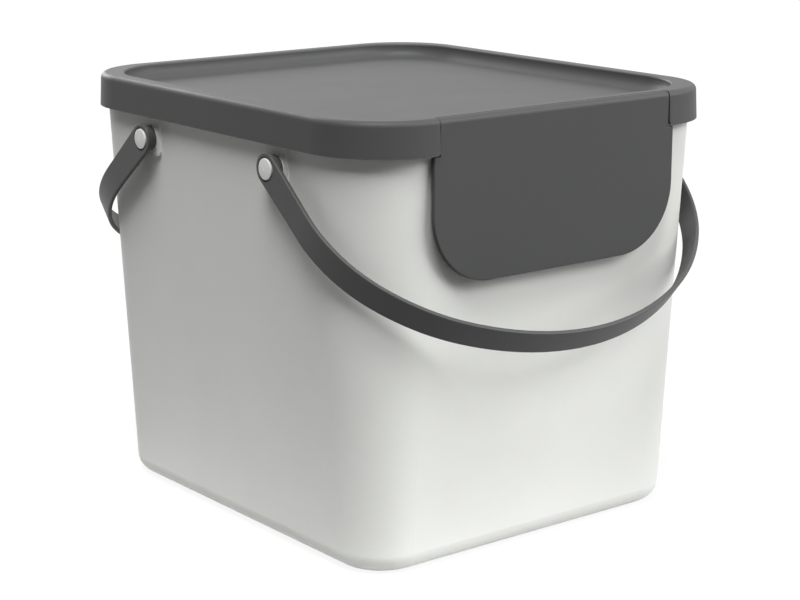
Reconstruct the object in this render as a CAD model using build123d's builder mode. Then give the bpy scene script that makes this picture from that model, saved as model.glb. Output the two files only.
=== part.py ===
from build123d import *
import os
from math import atan, cos, degrees, radians, sin

# Recycling bin: a tapered tub, a lift-off lid with a stacking tray, a flap hinged in the lid's
# front edge that covers a drop-in opening, and two strap handles on four snap studs.
# Millimetres. +Z is up, the front faces -Y, and the origin is the middle of the base.

# Whole bin
bin_width = 358.0
bin_depth = 400.0
bin_height = 340.0

# Tub
base_width = 313.6
base_depth = 352.0
base_corner = 39.0
base_edge = 15.5
tub_wall = 2.4
tub_floor = 3.0
rim_height = 3.0
rim_proud = 1.0
rim_edge = 1.2

# Lid
lid_skirt = 26.2
lid_corner = 63.0
lid_lean = 1.3
lid_edge = 4.4
lid_wall = 2.2
lid_inner_edge = 1.0
tray_inset = 15.5
tray_corner = 60.0
tray_depth = 12.0
tray_draft = 4.0
tray_floor_edge = 10.0
tray_top_edge = 1.5
skirt_end_edge = 3.0

# Flap and its hinge
flap_top_width = 224.0
flap_width = 234.4
flap_height = 121.4
flap_corner = 52.0
flap_wall = 2.2
flap_depth = 3.4
flap_setback = 1.3
flap_edge = 0.8
flap_overlap = 15.5
roll_radius = 4.4
pin_radius = 2.5
pin_length = 4.5
cheek_thickness = 4.0
lip_drop = 5.6

# Strap handles
pivot_spacing = 172.8
pivot_drop = 43.5
hang_angle = 50.3
strap_width = 22.0
strap_thickness = 3.5
strap_edge = 1.0
strap_arm = 56.6
shoulder_bend_radius = 111.4
shoulder_bend = 39.0
corner_bend_radius = 157.6
corner_bend = 24.7
eye_radius = 12.0
neck_length = 50.0
eye_boss_radius = 10.0
eye_boss_height = 5.0
eye_recess_radius = 9.3
eye_recess_depth = 1.3

# Pads on the tub and the snap studs in them
pad_width = 26.0
pad_height = 34.0
pad_corner = 4.0
pad_drop = 13.2
pad_start = 100.0
boss_height = 0.7
stud_head_radius = 7.9
stud_head_thickness = 1.7
stud_dome = 0.5
stud_head_edge = 0.4
stud_shoulder_radius = 5.5
stud_shank_radius = 3.8
stud_barb_radius = 4.7
stud_tip_radius = 3.3
stud_barb_length = 3.5
stud_slot_width = 1.8
stud_slot_depth = 6.0

# Clearances, and how far the cuts through the front walls reach
rim_gap = 0.7
seat_gap = 0.3
strap_gap = 0.3
eye_play = 0.3
flap_side_gap = 0.6
flap_step_gap = 1.0
roll_gap = 0.3
pin_gap = 0.06
bore_gap = 0.06
shank_gap = 0.05
barb_gap = 0.2
notch_gap = 1.5
front_cut = 40.0

# Heights and half sizes that follow from the above
skirt_bottom = bin_height - lid_skirt
band_underside = bin_height - lid_wall
tub_height = band_underside - seat_gap
hinge_y = -bin_depth / 2 + flap_setback + roll_radius
hinge_z = bin_height - roll_radius
flap_face_y = hinge_y - roll_radius
window_half = flap_top_width / 2 + flap_side_gap
cheek_half = window_half + cheek_thickness
lip_bottom = hinge_z - lip_drop
pivot_z = bin_height - pivot_drop
strap_inside = bin_width / 2 + strap_gap
eye_inside = strap_inside - eye_boss_height
boss_face = eye_inside - eye_play
pad_face = boss_face - boss_height
tight = 0.01


def lean_at(z):
    """How far the lid's skirt has leaned in at a height."""
    return lid_lean * (z - skirt_bottom) / lid_skirt


rim_inset = lean_at(tub_height) + lid_wall + rim_gap + rim_proud
rim_width = bin_width - 2 * rim_inset
rim_depth = bin_depth - 2 * rim_inset
rim_corner = lid_corner - lean_at(tub_height) - lid_wall


def tub_at(base, rim, z):
    """A width, depth or corner radius of the tub's outside at a height."""
    return base + (rim - base) * z / tub_height


def level_edges(part, z):
    """The edges of a part that lie flat at a height."""
    return part.edges().filter_by_position(Axis.Z, z - tight, z + tight)


def side_plane(side, end, distance):
    """A plane facing out from a pivot of the strap handles, at a distance from the middle of the bin."""
    return Plane(
        origin=(side * distance, end * pivot_spacing / 2, pivot_z),
        x_dir=(0, side, 0),
        z_dir=(side, 0, 0),
    )


def pivot_profile_plane(side, end):
    """A plane through a pivot's axis, with its X running out along the axis."""
    return Plane(
        origin=(0, end * pivot_spacing / 2, pivot_z), x_dir=(side, 0, 0), z_dir=(0, -1, 0)
    )


def pivot_axis(end):
    """The axis that one strap handle swings about."""
    return Axis((0, end * pivot_spacing / 2, pivot_z), (1, 0, 0))


places = [(side, end) for end in (-1, 1) for side in (-1, 1)]
front_plane = Plane(origin=(0, flap_face_y, 0), x_dir=(1, 0, 0), z_dir=(0, -1, 0))

# Tub: outer taper, rim and pads first, then the hollow and the openings
opening_half = flap_width / 2 - flap_overlap
opening_bottom = bin_height - flap_height + flap_overlap
notch_half = cheek_half + notch_gap
notch_bottom = lip_bottom - notch_gap

with BuildPart() as hollow:
    with BuildSketch(Plane.XY.offset(tub_floor)):
        RectangleRounded(
            tub_at(base_width, rim_width, tub_floor) - 2 * tub_wall,
            tub_at(base_depth, rim_depth, tub_floor) - 2 * tub_wall,
            tub_at(base_corner, rim_corner, tub_floor) - tub_wall,
        )
    with BuildSketch(Plane.XY.offset(tub_height)):
        RectangleRounded(
            rim_width - 2 * tub_wall, rim_depth - 2 * tub_wall, rim_corner - tub_wall
        )
    loft(ruled=True)
    fillet(hollow.edges().group_by(Axis.Z)[0], radius=base_edge - tub_wall)

with BuildPart() as bin_body:
    with BuildSketch(Plane.XY):
        RectangleRounded(base_width, base_depth, base_corner)
    with BuildSketch(Plane.XY.offset(tub_height)):
        RectangleRounded(rim_width, rim_depth, rim_corner)
    loft(ruled=True)
    fillet(bin_body.edges().group_by(Axis.Z)[0], radius=base_edge)
    with BuildSketch(Plane.XY.offset(tub_height - rim_height)):
        RectangleRounded(
            rim_width + 2 * rim_proud, rim_depth + 2 * rim_proud, rim_corner + rim_proud
        )
    extrude(amount=rim_height)
    fillet(bin_body.edges().group_by(Axis.Z)[-1], radius=rim_edge)
    for side, end in places:
        with BuildSketch(side_plane(side, end, pad_start)):
            with Locations((0, pad_height / 2 - pad_drop)):
                RectangleRounded(pad_width, pad_height, pad_corner)
        extrude(amount=pad_face - pad_start)
        with BuildSketch(side_plane(side, end, pad_start)):
            Circle(eye_boss_radius)
        extrude(amount=boss_face - pad_start)
    add(hollow.part, mode=Mode.SUBTRACT)
    with BuildSketch(Plane.XY.offset(notch_bottom)):
        with Locations((0, -bin_depth / 2)):
            Rectangle(2 * notch_half, front_cut)
    extrude(amount=tub_height - notch_bottom, mode=Mode.SUBTRACT)
    with BuildSketch(front_plane) as opening:
        with Locations((0, opening_bottom)):
            Rectangle(
                2 * opening_half, tub_height - opening_bottom, align=(Align.CENTER, Align.MIN)
            )
        fillet(opening.vertices().group_by(Axis.Y)[0], radius=flap_corner - flap_overlap)
    extrude(amount=-front_cut, mode=Mode.SUBTRACT)
    for side, end in places:
        with BuildSketch(side_plane(side, end, pad_start)):
            Circle(stud_shank_radius + shank_gap)
        extrude(amount=boss_face - pad_start, mode=Mode.SUBTRACT)

# Lid: drafted skirt, thin band round a sunk tray, and a front window with the hinge's hollow
tray_width = bin_width - 2 * tray_inset
tray_length = bin_depth - 2 * tray_inset
lid_draft = degrees(atan(lid_lean / lid_skirt))
lip_front = lid_lean + lid_wall / 2 - bin_depth / 2

with BuildPart() as tray_recess:
    with BuildSketch(Plane(origin=(0, 0, bin_height), x_dir=(1, 0, 0), z_dir=(0, 0, -1))):
        RectangleRounded(tray_width, tray_length, tray_corner)
    extrude(amount=tray_depth, taper=tray_draft)
    fillet(tray_recess.edges().group_by(Axis.Z)[0], radius=tray_floor_edge)

with BuildPart() as lid:
    with BuildSketch(Plane.XY.offset(skirt_bottom)):
        RectangleRounded(bin_width, bin_depth, lid_corner)
    extrude(amount=lid_skirt, taper=lid_draft)
    fillet(lid.edges().group_by(Axis.Z)[-1], radius=lid_edge)
    with BuildSketch(Plane.XY.offset(skirt_bottom)):
        RectangleRounded(
            bin_width - 2 * lid_wall, bin_depth - 2 * lid_wall, lid_corner - lid_wall
        )
    extrude(amount=lid_skirt - lid_wall, taper=lid_draft, mode=Mode.SUBTRACT)
    fillet(level_edges(lid, band_underside), radius=lid_inner_edge)
    with BuildSketch(Plane(origin=(0, 0, band_underside), x_dir=(1, 0, 0), z_dir=(0, 0, -1))):
        RectangleRounded(
            tray_width + 2 * lid_wall, tray_length + 2 * lid_wall, tray_corner + lid_wall
        )
    extrude(amount=tray_depth, taper=tray_draft)
    fillet(level_edges(lid, band_underside - tray_depth), radius=tray_floor_edge + lid_wall)
    with BuildSketch(Plane.XY.offset(lip_bottom)):
        with Locations((0, lip_front)):
            Rectangle(
                2 * cheek_half, -tray_length / 2 - lip_front, align=(Align.CENTER, Align.MIN)
            )
    extrude(amount=band_underside - lip_bottom)
    add(tray_recess.part, mode=Mode.SUBTRACT)
    fillet(lid.faces().sort_by(Axis.Z)[-1].inner_wires()[0].edges(), radius=tray_top_edge)
    with BuildSketch(Plane(origin=(0, hinge_y, skirt_bottom), x_dir=(1, 0, 0), z_dir=(0, -1, 0))):
        Rectangle(2 * window_half, lid_skirt, align=(Align.CENTER, Align.MIN))
        Rectangle(
            2 * (window_half + skirt_end_edge), skirt_end_edge, align=(Align.CENTER, Align.MIN)
        )
        with Locations(
            (-window_half - skirt_end_edge, skirt_end_edge),
            (window_half + skirt_end_edge, skirt_end_edge),
        ):
            Circle(skirt_end_edge, mode=Mode.SUBTRACT)
    extrude(amount=front_cut, mode=Mode.SUBTRACT)
    with BuildSketch(Plane.YZ):
        with Locations((hinge_y, hinge_z)):
            Circle(roll_radius + roll_gap)
    extrude(amount=window_half, both=True, mode=Mode.SUBTRACT)
    with BuildSketch(Plane.YZ):
        with Locations((hinge_y, hinge_z)):
            Circle(pin_radius + pin_gap)
    extrude(amount=cheek_half, both=True, mode=Mode.SUBTRACT)

# Flap: a shallow tray hung from a solid roll, with its hinge pins in one piece with it
flap_step = skirt_bottom - flap_step_gap
flap_bottom = bin_height - flap_height


def flap_outline(inset):
    """The flap's front view up to the hinge axis, drawn in from its edge by an inset."""
    with BuildSketch() as outline:
        with Locations((0, flap_bottom + inset)):
            Rectangle(
                flap_width - 2 * inset,
                flap_step - flap_bottom - 2 * inset,
                align=(Align.CENTER, Align.MIN),
            )
        fillet(outline.vertices().group_by(Axis.Y)[0], radius=flap_corner - inset)
        with Locations((0, hinge_z - inset)):
            Rectangle(
                flap_top_width - 2 * inset,
                hinge_z - flap_step + flap_step_gap,
                align=(Align.CENTER, Align.MAX),
            )
    return outline.sketch


with BuildPart() as front_flap:
    with BuildSketch(front_plane):
        add(flap_outline(0))
    extrude(amount=-flap_depth)
    front_edges = front_flap.edges().group_by(Axis.Y)[0].sort_by(Axis.Z)[:-1]
    fillet(front_edges, radius=flap_edge)
    with BuildSketch(front_plane.offset(-flap_wall)):
        add(flap_outline(flap_wall))
    extrude(amount=flap_wall - flap_depth, mode=Mode.SUBTRACT)
    with BuildSketch(Plane(origin=(0, hinge_y, hinge_z), x_dir=(1, 0, 0), z_dir=(0, -1, 0))) as roll:
        Rectangle(flap_top_width, roll_radius, align=(Align.CENTER, Align.MIN))
        fillet(roll.vertices().group_by(Axis.Y)[-1], radius=flap_edge)
        Rectangle(
            flap_top_width + 2 * pin_length, pin_radius, align=(Align.CENTER, Align.MIN)
        )
    revolve(axis=Axis((0, hinge_y, hinge_z), (1, 0, 0)))

# Strap handles: straight arms from the eyes, then three tangent arcs to the middle of the grip
arm_line = strap_inside + strap_thickness / 2
last_turn = shoulder_bend + corner_bend
grip_radius = (
    arm_line
    - shoulder_bend_radius * (1 - cos(radians(shoulder_bend)))
    - corner_bend_radius * (cos(radians(shoulder_bend)) - cos(radians(last_turn)))
) / cos(radians(last_turn))


def strap_line(out):
    """Half of the strap's centreline, moved out by a distance: X across, Y down from the pivots."""
    arm = Line((arm_line + out, 0), (arm_line + out, strap_arm))
    shoulder = JernArc(arm @ 1, arm % 1, shoulder_bend_radius + out, shoulder_bend)
    corner = JernArc(shoulder @ 1, shoulder % 1, corner_bend_radius + out, corner_bend)
    return JernArc(corner @ 1, corner % 1, grip_radius + out, 90 - last_turn)


def strap_band(inner, outer):
    """The strap seen square to its width, between two distances from its centreline."""
    with BuildSketch() as band:
        with BuildLine():
            inside = strap_line(inner)
            outside = strap_line(outer)
            Line(inside @ 1, outside @ 1)
            Line((arm_line + inner, 0), (arm_line + outer, 0))
        make_face()
        mirror(about=Plane.YZ)
    return band.sketch


def strap_handle(end):
    """The front strap handle for an end of -1, and the rear one for +1."""
    hang = radians(hang_angle)
    strap_plane = Plane(
        origin=(0, end * pivot_spacing / 2, pivot_z),
        x_dir=(1, 0, 0),
        z_dir=(0, cos(hang), end * sin(hang)),
    )
    width_plane = Plane(
        origin=strap_plane.origin, x_dir=strap_plane.z_dir, z_dir=-strap_plane.x_dir
    )
    half_thickness = strap_thickness / 2
    recess_floor = strap_inside + strap_thickness - eye_recess_depth
    with BuildPart() as handle:
        with BuildSketch(strap_plane):
            add(strap_band(-half_thickness, half_thickness))
        extrude(amount=eye_radius, both=True)
        with BuildSketch(width_plane):
            with BuildLine():
                Polyline(
                    (eye_radius, 0),
                    (strap_width / 2, neck_length),
                    (strap_width / 2, bin_width),
                    (-strap_width / 2, bin_width),
                    (-strap_width / 2, neck_length),
                    (-eye_radius, 0),
                    close=True,
                )
            make_face()
        extrude(amount=bin_width, both=True, mode=Mode.INTERSECT)
        long_edges = handle.edges().filter_by(
            lambda edge: abs(strap_plane.to_local_coords(edge.center()).Z) > strap_width / 2 - tight
            and strap_plane.to_local_coords(edge.center()).Y > tight
            and edge.length > strap_thickness + tight
        )
        fillet(long_edges, radius=strap_edge)
        for side in (-1, 1):
            with BuildSketch(pivot_profile_plane(side, end)) as eye:
                with Locations((strap_inside, 0)):
                    Rectangle(strap_thickness, eye_radius, align=(Align.MIN, Align.MIN))
                fillet(eye.vertices().group_by(Axis.Y)[-1], radius=strap_edge)
                with Locations((eye_inside, 0)):
                    Rectangle(
                        eye_boss_height + strap_edge, eye_boss_radius, align=(Align.MIN, Align.MIN)
                    )
            revolve(axis=pivot_axis(end))
            with BuildSketch(side_plane(side, end, recess_floor)):
                Circle(eye_recess_radius)
            extrude(amount=eye_recess_depth, mode=Mode.SUBTRACT)
            with BuildSketch(side_plane(side, end, eye_inside)):
                Circle(stud_shoulder_radius + bore_gap)
            extrude(amount=recess_floor - eye_inside, mode=Mode.SUBTRACT)
    return handle.part


# Snap studs: a domed head in the strap's eye, a shoulder to turn on, and a slotted barb in the tub
pad_level = pivot_z - stud_shank_radius
wall_inside = tub_at(base_width, rim_width, pad_level) / 2 - tub_wall
barb_face = wall_inside - barb_gap
stud_tip = barb_face - stud_barb_length
head_seat = strap_inside + strap_thickness - eye_recess_depth + eye_play
head_rim = head_seat + stud_head_thickness
head_top = head_rim + stud_dome


def snap_stud(side, end):
    """The stud for one eye: side is -1 on the left, and end is -1 at the front."""
    with BuildPart() as stud:
        with BuildSketch(pivot_profile_plane(side, end)) as profile:
            with BuildLine():
                Polyline(
                    (head_top, 0),
                    (stud_tip, 0),
                    (stud_tip, stud_tip_radius),
                    (barb_face, stud_barb_radius),
                    (barb_face, stud_shank_radius),
                    (boss_face, stud_shank_radius),
                    (boss_face, stud_shoulder_radius),
                    (head_seat, stud_shoulder_radius),
                    (head_seat, stud_head_radius),
                    (head_rim, stud_head_radius),
                )
                TangentArc((head_top, 0), (head_rim, stud_head_radius), tangent=(0, 1))
            make_face()
            fillet(profile.vertices().group_by(Axis.Y)[-1].sort_by(Axis.X)[-1], stud_head_edge)
        revolve(axis=pivot_axis(end))
        with BuildSketch(side_plane(side, end, stud_tip)):
            Rectangle(stud_slot_width, 2 * stud_barb_radius)
        extrude(amount=stud_slot_depth, mode=Mode.SUBTRACT)
    return stud.part


pieces = {"bin_body": bin_body.part, "lid": lid.part, "front_flap": front_flap.part}
for end, end_name in ((-1, "front"), (1, "rear")):
    pieces[f"{end_name}_handle"] = strap_handle(end)
    for side, side_name in ((-1, "left"), (1, "right")):
        pieces[f"{end_name}_{side_name}_stud"] = snap_stud(side, end)

os.makedirs("parts", exist_ok=True)
for name, piece in pieces.items():
    piece.label = name
    export_step(piece, f"parts/{name}.step")
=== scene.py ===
"""Looks of the recycling bin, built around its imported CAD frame. Metres, +Z up, front towards -Y."""

from collections import namedtuple
from math import cos, radians, sin

import bpy
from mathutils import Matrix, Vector

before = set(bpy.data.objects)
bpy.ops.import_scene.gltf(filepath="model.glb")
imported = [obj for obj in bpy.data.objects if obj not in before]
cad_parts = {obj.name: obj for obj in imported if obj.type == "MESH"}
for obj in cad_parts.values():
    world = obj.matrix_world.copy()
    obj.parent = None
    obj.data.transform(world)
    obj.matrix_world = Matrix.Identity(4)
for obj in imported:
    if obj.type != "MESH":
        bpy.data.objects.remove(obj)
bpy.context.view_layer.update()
scene = bpy.context.scene

# Camera at the photograph's viewing angle. The sensor is in millimetres.
IMAGE_WIDTH = 800
FOCAL_PIXELS = 2023.98
SENSOR_WIDTH = 36.0
CAMERA_AZIMUTH = -38.11
CAMERA_ELEVATION = 13.78
CAMERA_DISTANCE = 1.66853
CAMERA_TARGET = Vector((0.00803, 0.0, 0.15423))

# Square area lamps: direction in degrees, side in metres, power in watts
Lamp = namedtuple("Lamp", "azimuth elevation side power")
LAMPS = {
    "overhead": Lamp(azimuth=-52.0, elevation=65.5, side=5.6, power=1760.0),
    "key": Lamp(azimuth=52.0, elevation=22.0, side=7.0, power=750.0),
    "front": Lamp(azimuth=21.0, elevation=41.0, side=4.4, power=600.0),
    "rear": Lamp(azimuth=172.0, elevation=20.0, side=5.0, power=720.0),
}
LAMP_DISTANCE = 12.0
LAMP_TARGET = Vector((0.0, 0.0, 0.17))

# Plastics: base colour, roughness, specular level, strength of the grain, how far rubbed edges
# show, and how light those are against the rest
Plastic = namedtuple("Plastic", "colour roughness specular grain wear worn_shade")
PLASTICS = {
    "tub_plastic": Plastic((0.79, 0.80, 0.765), 0.44, 0.38, 0.18, 0.25, 0.93),
    "stud_plastic": Plastic((0.80, 0.80, 0.79), 0.32, 0.50, 0.10, 0.35, 0.88),
    "lid_plastic": Plastic((0.064, 0.0645, 0.0645), 0.50, 0.21, 0.32, 0.40, 1.35),
    "strap_plastic": Plastic((0.060, 0.0605, 0.0605), 0.48, 0.34, 0.28, 0.35, 1.30),
}
PIECES = {
    "tub_plastic": ("bin_body",),
    "stud_plastic": ("front_left_stud", "front_right_stud", "rear_left_stud", "rear_right_stud"),
    "lid_plastic": ("lid", "front_flap"),
    "strap_plastic": ("front_handle", "rear_handle"),
}
PLASTIC_IOR = 1.49

# Patterns on every plastic, in cycles per metre, with the part of each noise that is used
CLOUD_CYCLES = 9.0
CLOUD_RANGE = (0.3, 0.7)
CLOUD_SHADES = (0.972, 1.028)
CLOUD_ROUGHNESS = (-0.03, 0.04)
SPECK_CYCLES = 900.0
SPECK_RANGE = (0.35, 0.7)
SPECK_SHARE = 0.10
SPECK_SHADE = 0.80
PORE_CYCLES = 1300.0
PORE_WEIGHT = 0.6
GRAIN_DEPTH = 0.00012

# Rubbed edges: where the rounded normal turns away from the surface's, broken up by scuffs
EDGE_RADIUS = 0.0016
EDGE_SAMPLES = 6
EDGE_COSINES = (0.995, 0.86)
SCUFF_CYCLES = 140.0
SCUFF_RANGE = (0.42, 0.62)
SCUFF_LEAST = 0.15
RUBBED_ROUGHNESS = -0.10

# Surroundings: light from all round, and the floor's paleness, where it is seen and elsewhere.
# The floor sends back most light near the base, inside an ellipse.
WHITE = (1.0, 1.0, 1.0, 1.0)
SEEN_LIGHT = 1.0
FILL_LIGHT = 0.05
FLOOR_HALF = 12.0
FLOOR_SEEN = 0.86
FLOOR_GLOW = 0.90
BOUNCE_SCALE = (5.6, 5.1, 0.0)
BOUNCE_REACH = (1.2, 2.1)
BOUNCE_NEAR = 0.48
BOUNCE_FAR = 0.10

# Sockets of the colour mixing node
MIX_FACTOR, MIX_LOW, MIX_HIGH = 0, 6, 7
MIX_RESULT = 2


def node(tree, kind, inputs=None, **settings):
    """Adds a shader node, sets its properties, and fills or links its inputs by name or number."""
    made = tree.nodes.new(kind)
    for key, value in settings.items():
        setattr(made, key, value)
    for key, value in (inputs or {}).items():
        if isinstance(value, bpy.types.NodeSocket):
            tree.links.new(value, made.inputs[key])
        else:
            made.inputs[key].default_value = value
    return made


def new_material(name):
    """An empty node material and its tree."""
    material = bpy.data.materials.new(name)
    material.use_nodes = True
    material.node_tree.nodes.clear()
    return material, material.node_tree


def calculate(tree, operation, *values):
    """The result of a math node."""
    return node(tree, "ShaderNodeMath", dict(enumerate(values)), operation=operation).outputs[0]


def vector_math(tree, operation, *values):
    """A vector math node's outputs."""
    inputs = dict(enumerate(values))
    return node(tree, "ShaderNodeVectorMath", inputs, operation=operation).outputs


def noise(tree, coordinates, cycles, detail, roughness=0.5):
    """A noise value at a number of cycles per metre."""
    made = node(
        tree,
        "ShaderNodeTexNoise",
        {"Vector": coordinates, "Scale": cycles, "Detail": detail, "Roughness": roughness},
    )
    return made.outputs["Fac"]


def remap(tree, value, source, target=(0.0, 1.0)):
    """A value stretched from one range to another, held inside it."""
    inputs = dict(enumerate((value, *source, *target)))
    return node(tree, "ShaderNodeMapRange", inputs).outputs[0]


def choose(tree, factor, at_zero, at_one):
    """A value between two, by a factor from 0 to 1."""
    return remap(tree, factor, (0.0, 1.0), (at_zero, at_one))


def shade(colour, factor):
    """A colour made lighter or darker, with its alpha."""
    return (*(min(1.0, part * factor) for part in colour), 1.0)


def mix_colour(tree, factor, low, high):
    """A colour between two, by a factor."""
    inputs = {MIX_FACTOR: factor, MIX_LOW: low, MIX_HIGH: high}
    return node(tree, "ShaderNodeMix", inputs, data_type="RGBA").outputs[MIX_RESULT]


def moulded_plastic(name, plastic):
    """Moulded plastic with a fine eroded grain, faint clouding, and rubbed edges."""
    material, tree = new_material(name)
    place = node(tree, "ShaderNodeTexCoord").outputs["Object"]
    cloud = noise(tree, place, CLOUD_CYCLES, detail=4.0, roughness=0.55)
    speck = noise(tree, place, SPECK_CYCLES, detail=2.0)
    pores = node(
        tree, "ShaderNodeTexVoronoi", {"Vector": place, "Scale": PORE_CYCLES}, feature="F1"
    ).outputs["Distance"]
    scuffs = noise(tree, place, SCUFF_CYCLES, detail=5.0, roughness=0.65)

    rounded = node(tree, "ShaderNodeBevel", {"Radius": EDGE_RADIUS}, samples=EDGE_SAMPLES)
    facing = node(tree, "ShaderNodeNewGeometry").outputs["Normal"]
    turned = vector_math(tree, "DOT_PRODUCT", rounded.outputs["Normal"], facing)["Value"]
    edge = remap(tree, turned, EDGE_COSINES)
    broken = remap(tree, scuffs, SCUFF_RANGE, (SCUFF_LEAST, 1.0))
    rubbed = calculate(tree, "MULTIPLY", edge, broken)

    light_and_dark = (shade(plastic.colour, factor) for factor in CLOUD_SHADES)
    clouded = mix_colour(tree, remap(tree, cloud, CLOUD_RANGE), *light_and_dark)
    specks = remap(tree, speck, SPECK_RANGE, (0.0, SPECK_SHARE))
    specked = mix_colour(tree, specks, clouded, shade(plastic.colour, SPECK_SHADE))
    worn = calculate(tree, "MULTIPLY", rubbed, plastic.wear)
    painted = mix_colour(tree, worn, specked, shade(plastic.colour, plastic.worn_shade))

    roughnesses = [plastic.roughness + change for change in CLOUD_ROUGHNESS]
    rough = remap(tree, cloud, CLOUD_RANGE, roughnesses)
    smoother = calculate(tree, "MULTIPLY_ADD", rubbed, RUBBED_ROUGHNESS, rough)
    height = calculate(tree, "MULTIPLY_ADD", pores, PORE_WEIGHT, speck)
    bump = node(
        tree,
        "ShaderNodeBump",
        {"Strength": plastic.grain, "Distance": GRAIN_DEPTH, "Height": height},
    )
    surface = node(
        tree,
        "ShaderNodeBsdfPrincipled",
        {
            "Base Color": painted,
            "Roughness": smoother,
            "Normal": bump.outputs["Normal"],
            "IOR": PLASTIC_IOR,
            "Specular IOR Level": plastic.specular,
        },
    )
    node(tree, "ShaderNodeOutputMaterial", {"Surface": surface.outputs[0]})
    return material


def seen_or_reflected(tree):
    """1 for camera, glossy and transmission rays, and 0 for the rest."""
    path = node(tree, "ShaderNodeLightPath").outputs
    either = calculate(tree, "MAXIMUM", path["Is Camera Ray"], path["Is Glossy Ray"])
    return calculate(tree, "MAXIMUM", either, path["Is Transmission Ray"])


def aim(thing, target, distance, azimuth, elevation):
    """Puts a camera or a lamp out from a target, looking at it.

    The direction is in degrees: azimuth 0 is the front, and a positive one is to its right.
    """
    turn = radians(azimuth)
    rise = radians(elevation)
    way = Vector((sin(turn) * cos(rise), -cos(turn) * cos(rise), sin(rise)))
    thing.location = target + way * distance
    thing.rotation_mode = "QUATERNION"
    thing.rotation_quaternion = (-way).to_track_quat("-Z", "Y")


for slot, plastic in PLASTICS.items():
    material = moulded_plastic(slot, plastic)
    for piece in PIECES[slot]:
        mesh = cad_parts[piece].data
        mesh.materials.clear()
        mesh.materials.append(material)

camera_data = bpy.data.cameras.new("camera")
camera_data.sensor_width = SENSOR_WIDTH
camera_data.lens = FOCAL_PIXELS / IMAGE_WIDTH * SENSOR_WIDTH
camera = bpy.data.objects.new("camera", camera_data)
scene.collection.objects.link(camera)
scene.camera = camera
aim(camera, CAMERA_TARGET, CAMERA_DISTANCE, CAMERA_AZIMUTH, CAMERA_ELEVATION)

for name, lamp in LAMPS.items():
    lamp_data = bpy.data.lights.new(name, "AREA")
    lamp_data.size = lamp.side
    lamp_data.energy = lamp.power
    lamp_object = bpy.data.objects.new(name, lamp_data)
    scene.collection.objects.link(lamp_object)
    aim(lamp_object, LAMP_TARGET, LAMP_DISTANCE, lamp.azimuth, lamp.elevation)

# World: white where it is seen or mirrored, and a faint fill everywhere else
world = bpy.data.worlds.new("studio")
scene.world = world
world.use_nodes = True
tree = world.node_tree
tree.nodes.clear()
strength = choose(tree, seen_or_reflected(tree), FILL_LIGHT, SEEN_LIGHT)
backdrop = node(tree, "ShaderNodeBackground", {"Color": WHITE, "Strength": strength})
node(tree, "ShaderNodeOutputWorld", {"Surface": backdrop.outputs[0]})

# Floor: white in the picture, with the object's soft shadow kept
floor_material, tree = new_material("floor")
seen = seen_or_reflected(tree)
position = node(tree, "ShaderNodeNewGeometry").outputs["Position"]
spread = vector_math(tree, "MULTIPLY", position, BOUNCE_SCALE)["Vector"]
reach = vector_math(tree, "LENGTH", spread)["Value"]
bounce = remap(tree, reach, BOUNCE_REACH, (BOUNCE_NEAR, BOUNCE_FAR))
pale = node(tree, "ShaderNodeBsdfDiffuse", {"Color": choose(tree, seen, bounce, FLOOR_SEEN)})
glow = node(tree, "ShaderNodeEmission", {"Color": WHITE, "Strength": SEEN_LIGHT})
mixed = node(
    tree,
    "ShaderNodeMixShader",
    {0: choose(tree, seen, 0.0, FLOOR_GLOW), 1: pale.outputs[0], 2: glow.outputs[0]},
)
node(tree, "ShaderNodeOutputMaterial", {"Surface": mixed.outputs[0]})
corners = ((-1, -1), (1, -1), (1, 1), (-1, 1))
floor_mesh = bpy.data.meshes.new("floor")
floor_mesh.from_pydata(
    [(x * FLOOR_HALF, y * FLOOR_HALF, 0.0) for x, y in corners], [], [(0, 1, 2, 3)]
)
floor_mesh.materials.append(floor_material)
floor = bpy.data.objects.new("floor", floor_mesh)
scene.collection.objects.link(floor)

scene.view_settings.view_transform = "Standard"
